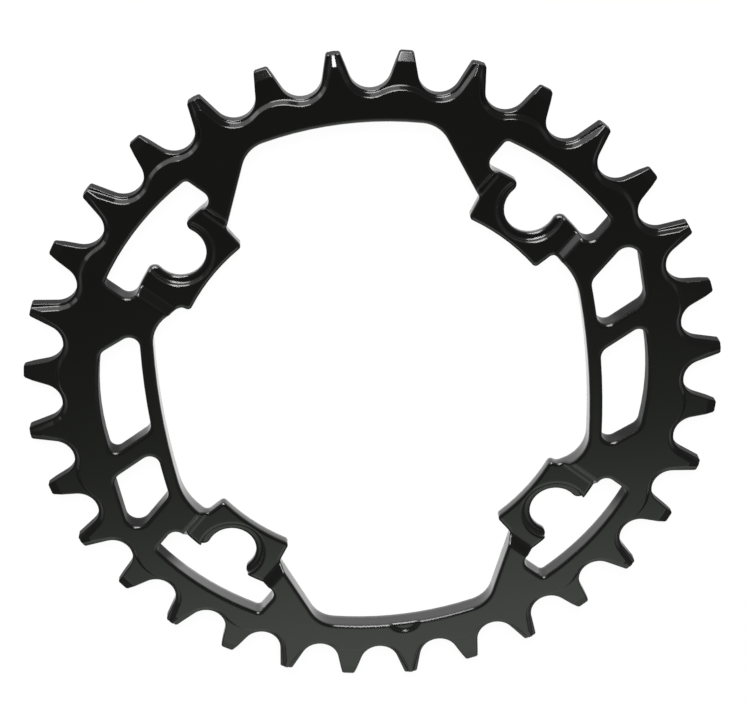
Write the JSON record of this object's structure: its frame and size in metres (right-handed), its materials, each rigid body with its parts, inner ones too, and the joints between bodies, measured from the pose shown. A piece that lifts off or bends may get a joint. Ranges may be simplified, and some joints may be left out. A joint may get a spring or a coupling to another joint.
{
  "type": "bicycle chainring",
  "caption": "Round one-piece chainring with alternating wide and narrow teeth, recessed bolt tabs with open-sided holes and lightening windows.",
  "frame": {"origin": "on the ring's axis, at the back face", "axes": "+Z along the ring's axis, out of the front face; a wide tooth on +X; thin rims on +Y and -Y"},
  "size_m": [0.136, 0.136, 0.0036],
  "materials": {
    "anodised_black": "gloss black anodised"
  },
  "bodies": {
    "root": {"chainring": "anodised_black"}
  },
  "joints": []
}
